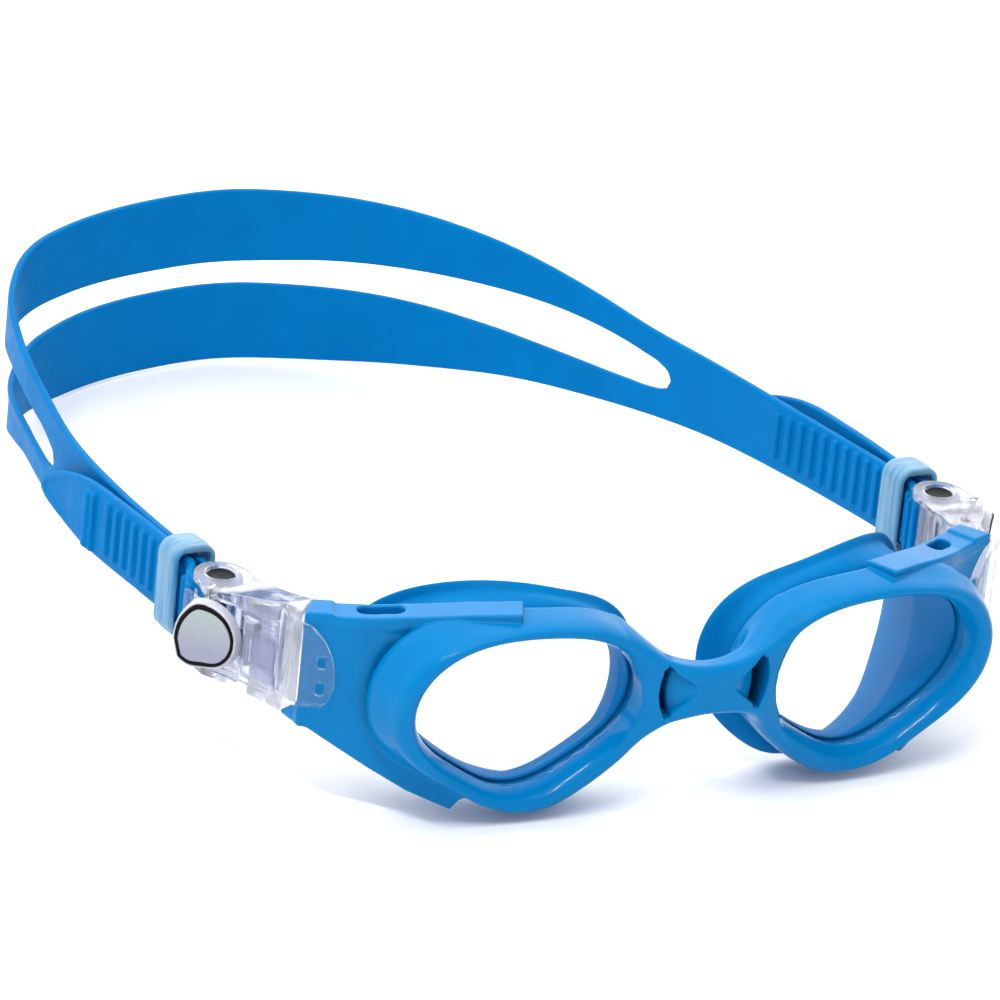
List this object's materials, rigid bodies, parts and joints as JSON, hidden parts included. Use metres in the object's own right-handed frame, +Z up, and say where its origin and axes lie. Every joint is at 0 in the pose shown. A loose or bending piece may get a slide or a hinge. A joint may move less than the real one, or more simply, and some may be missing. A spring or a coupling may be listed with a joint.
{
  "type": "swim goggles",
  "caption": "Child's swim goggles: one-piece frame with clear lenses and face seals, clear side buckles and a split rubber strap.",
  "frame": {"origin": "middle of the base that the goggles stand on, the two rings' lowest points and the back of the strap", "axes": "+X to the viewer's right as seen from the front, +Y from the lenses to the back of the strap, +Z up"},
  "size_m": [0.1554, 0.1962, 0.0385],
  "materials": {
    "frame": "glossy moulded soft plastic",
    "strap": "satin silicone rubber",
    "seal": "satin silicone rubber",
    "lens": "clear polycarbonate",
    "clear": "clear moulded polycarbonate",
    "black": "polished black acetal",
    "pad": "translucent white moulding",
    "badge": "printed silver inlay with a black outline",
    "steel": "stainless",
    "keeper": "translucent pale blue silicone"
  },
  "bodies": {
    "goggles": {"frame": "frame", "strap": "strap", "right_lens": "lens", "right_skirt": "seal", "right_buckle_body": "clear", "right_lever_pin": "steel", "right_return_spring": "steel", "left_lens": "lens", "left_skirt": "seal", "left_buckle_body": "clear", "left_lever_pin": "steel", "left_return_spring": "steel"},
    "right_lever": {"right_release_lever": "pad", "right_button_badge": "badge"},
    "right_roller": {"right_strap_roller": "black"},
    "right_keeper": {"right_keeper": "keeper"},
    "left_lever": {"left_release_lever": "pad", "left_button_badge": "badge"},
    "left_roller": {"left_strap_roller": "black"},
    "left_keeper": {"left_keeper": "keeper"}
  },
  "joints": [
    {"name": "right_lever_pivot", "type": "hinge", "parent": "goggles", "child": "right_lever", "pos_m": [0.072, -0.0546, 0.023], "axis": [0, 0, -1], "range_deg": [0, 8], "stiffness_Nm_per_rad": 0.02, "springref_deg": -2.86, "deforming": ["right_return_spring"]},
    {"name": "right_roller_spin", "type": "hinge", "parent": "goggles", "child": "right_roller", "pos_m": [0.068, -0.0496, 0.0232], "axis": [0, 0, 1], "continuous": true},
    {"name": "right_keeper_slide", "type": "slide", "parent": "goggles", "child": "right_keeper", "axis": [0, 0.9979, -0.0649], "range_m": [0, 0.009]},
    {"name": "left_lever_pivot", "type": "hinge", "parent": "goggles", "child": "left_lever", "pos_m": [-0.072, -0.0546, 0.023], "axis": [0, 0, 1], "range_deg": [0, 8], "stiffness_Nm_per_rad": 0.02, "springref_deg": -2.86, "deforming": ["left_return_spring"]},
    {"name": "left_roller_spin", "type": "hinge", "parent": "goggles", "child": "left_roller", "pos_m": [-0.068, -0.0496, 0.0232], "axis": [0, 0, 1], "continuous": true},
    {"name": "left_keeper_slide", "type": "slide", "parent": "goggles", "child": "left_keeper", "axis": [0, 0.9979, -0.0649], "range_m": [0, 0.007]}
  ]
}
